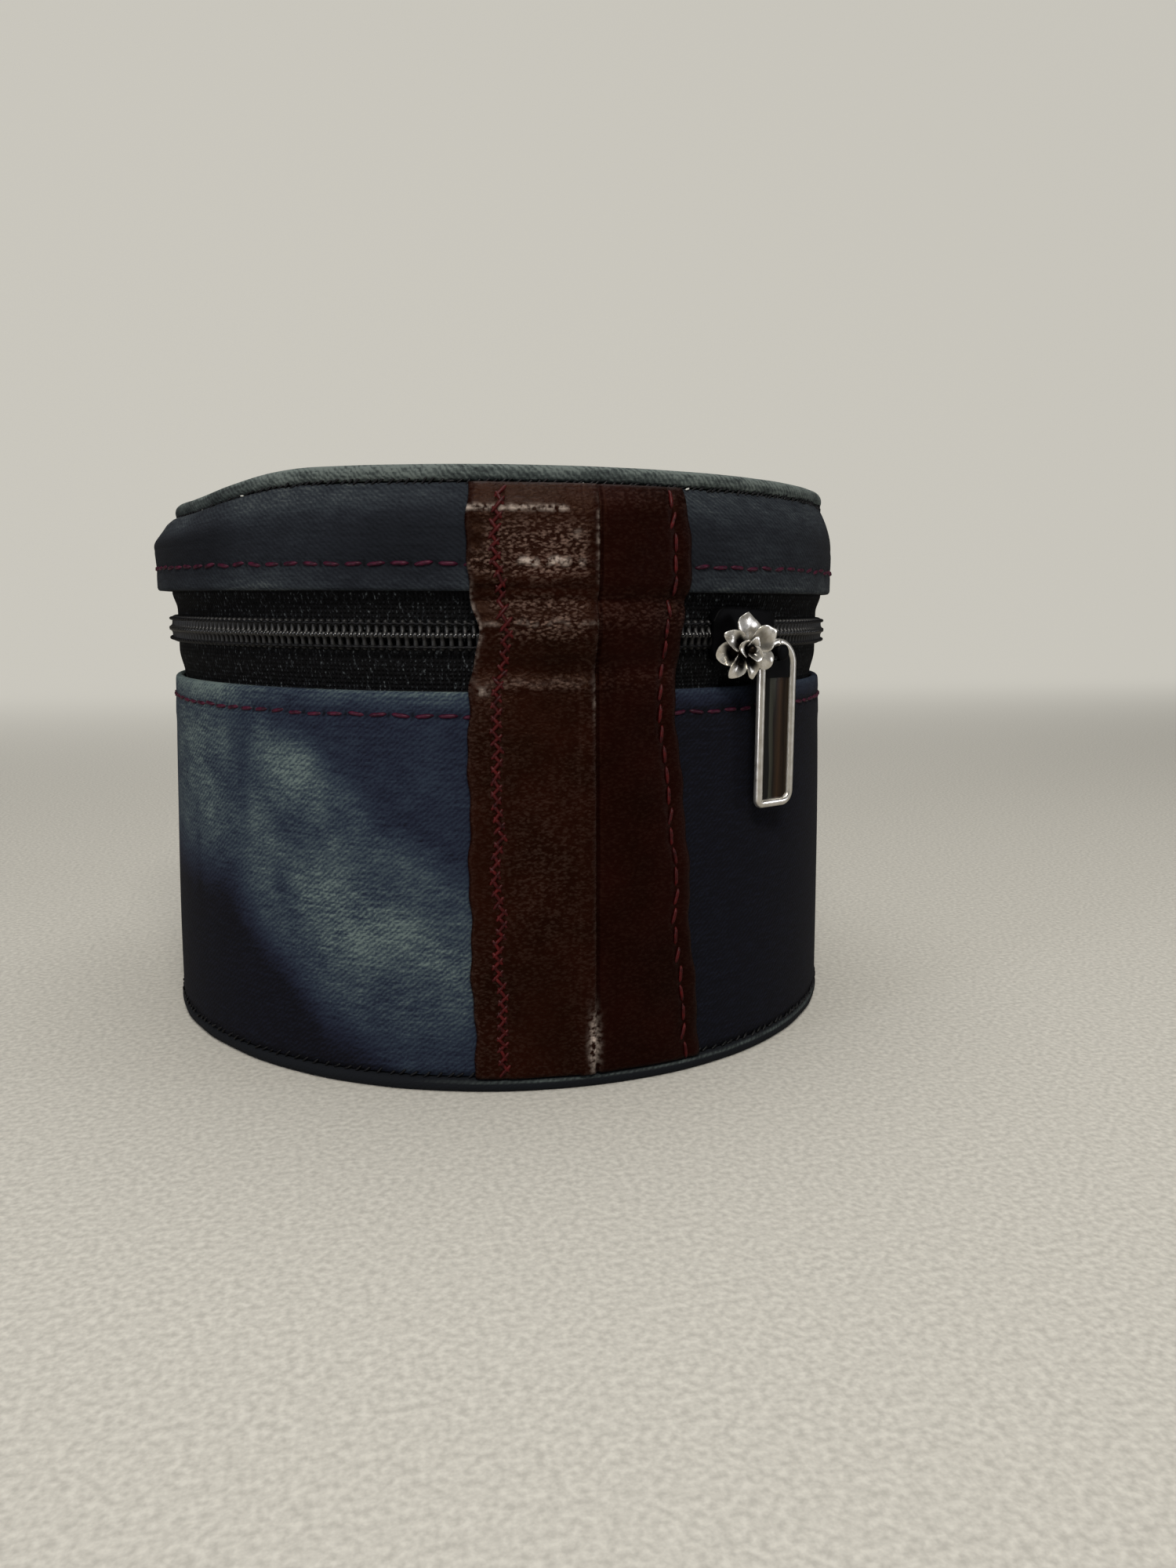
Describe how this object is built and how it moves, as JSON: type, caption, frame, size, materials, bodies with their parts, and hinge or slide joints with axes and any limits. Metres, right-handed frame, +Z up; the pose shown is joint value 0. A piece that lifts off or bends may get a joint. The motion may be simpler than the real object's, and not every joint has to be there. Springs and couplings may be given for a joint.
{
  "type": "round jewelry case",
  "caption": "Round zip-up case with a hinged lid, covered in denim over board, with a leather back strap as hinge and a padded inside for jewelry.",
  "frame": {"origin": "centre of the flat underside", "axes": "+Z up through the drum's middle, the leather hinge strap on the -Y side, +X to its right seen from outside"},
  "size_m": [0.155, 0.1565, 0.1148],
  "materials": {
    "denim_body": "washed indigo twill",
    "denim_lid": "washed indigo twill",
    "denim_trim": "faded grey-green twill",
    "leather": "dark brown grained, semi-gloss",
    "zip_tape": "black woven polyester",
    "zip_coil": "black nylon, satin",
    "nickel": "polished nickel plate",
    "enamel": "black enamel on die-cast zinc",
    "board": "grey-brown greyboard",
    "wadding": "white polyester wadding",
    "lining": "dark plain weave"
  },
  "bodies": {
    "base": {"bottom_denim": "denim_trim", "bottom_board": "board", "body_denim": "denim_body", "body_padding": "wadding", "body_board": "board", "body_lining": "lining", "floor_pad": "lining", "zip_tape_lower": "zip_tape", "zip_coil_lower": "zip_coil", "leather_left_base": "leather", "leather_right_base": "leather", "leather_left_hinge": "leather", "leather_right_hinge": "leather", "hinge_lining": "lining"},
    "lid": {"top_denim": "denim_trim", "top_board": "board", "lid_denim": "denim_lid", "lid_padding": "wadding", "lid_board": "board", "lid_lining": "lining", "ceiling_pad": "lining", "zip_tape_upper": "zip_tape", "zip_coil_upper": "zip_coil", "zip_tape_right_end": "zip_tape", "zip_coil_right_end": "zip_coil", "zip_tape_left_end": "zip_tape", "zip_coil_left_end": "zip_coil", "leather_left_lid": "leather", "leather_right_lid": "leather"},
    "slider": {"slider_front": "enamel", "slider_back": "enamel", "flower_ornament": "nickel"},
    "pull": {"pull_tab": "nickel"}
  },
  "joints": [
    {"name": "lid_hinge", "type": "hinge", "parent": "base", "child": "lid", "pos_m": [0, -0.075, 0.0845], "axis": [1, 0, 0], "range_deg": [0, 115], "deforming": ["leather_left_hinge", "leather_right_hinge", "hinge_lining", "zip_tape_right_end", "zip_coil_right_end", "zip_tape_left_end", "zip_coil_left_end"]},
    {"name": "slider_travel", "type": "hinge", "parent": "base", "child": "slider", "pos_m": [0, 0, 0.0851], "axis": [0, 0, 1], "range_deg": [0, 308]},
    {"name": "pull_swing", "type": "hinge", "parent": "slider", "child": "pull", "pos_m": [0.04176, -0.06751, 0.0816], "axis": [0.4048, -0.9144, 0], "range_deg": [-35, 190]}
  ]
}
